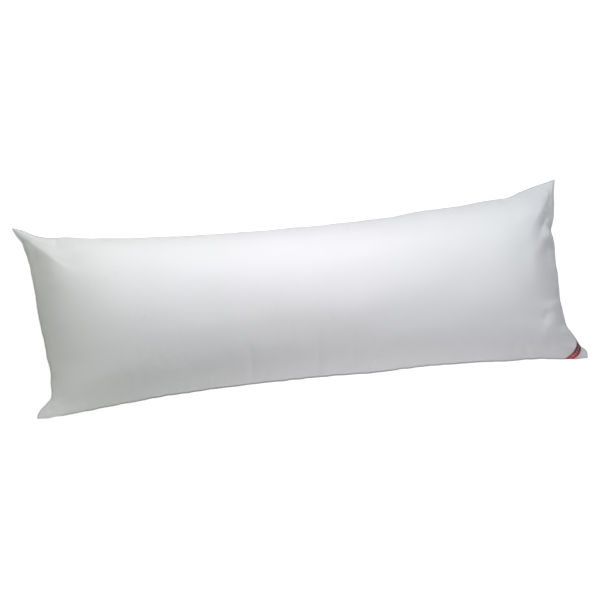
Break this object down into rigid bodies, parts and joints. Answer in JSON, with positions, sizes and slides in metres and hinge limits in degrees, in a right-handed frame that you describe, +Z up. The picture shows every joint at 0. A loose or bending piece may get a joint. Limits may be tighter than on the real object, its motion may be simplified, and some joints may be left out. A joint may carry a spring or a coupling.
{
  "type": "body pillow",
  "caption": "Long stuffed body pillow with drawn-in sides, soft pointed ears, a sewn edge and a narrow woven ribbon across one corner.",
  "frame": {"origin": "middle of the footprint, on the surface the pillow lies on", "axes": "+X along the pillow towards the ear with the ribbon, +Y across it away from that ear, +Z up"},
  "size_m": [1.3456, 0.478, 0.1781],
  "materials": {
    "case": "matt plain-weave white cotton",
    "ribbon": "dark red woven ribbon with a slight sheen"
  },
  "bodies": {
    "root": {"pillow": "case", "ribbon": "ribbon"}
  },
  "joints": []
}
